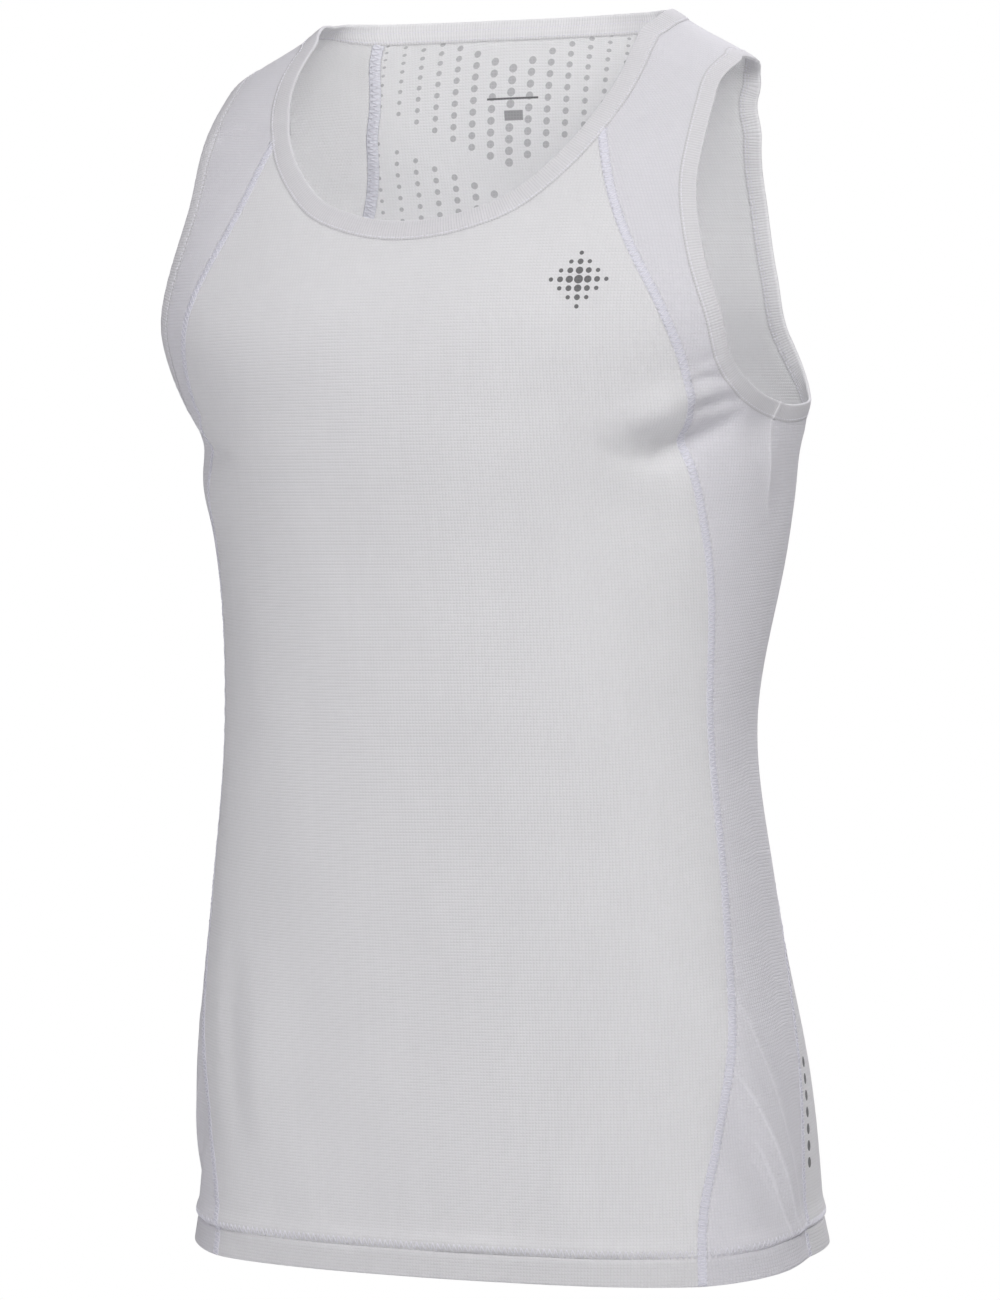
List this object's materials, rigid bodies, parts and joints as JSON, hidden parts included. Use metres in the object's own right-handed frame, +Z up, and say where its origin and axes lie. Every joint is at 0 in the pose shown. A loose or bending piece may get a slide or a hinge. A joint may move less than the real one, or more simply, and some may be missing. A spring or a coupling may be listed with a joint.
{
  "type": "running singlet",
  "caption": "Sleeveless athletic top in its worn, hollow form, with bound scoop neck, bound armholes, princess seams and a turned-up hem.",
  "frame": {"origin": "midway between the two shoulders, at the height of the strap tops, where the wearer carries the garment", "axes": "+Z up, +X to the wearer's left, -Y to the wearer's front"},
  "size_m": [0.3787, 0.2582, 0.7271],
  "materials": {
    "body_cloth": "white fine grid-knit polyester, soft dull sheen",
    "side_cloth": "the same grid knit with a faint lavender cast",
    "binding": "folded smooth jersey binding with topstitching"
  },
  "bodies": {
    "root": {"front_panel": "body_cloth", "back_panel": "body_cloth", "side_panel_left": "side_cloth", "side_panel_right": "side_cloth", "neck_binding": "binding", "armhole_binding_left": "binding", "armhole_binding_right": "binding"}
  },
  "joints": []
}
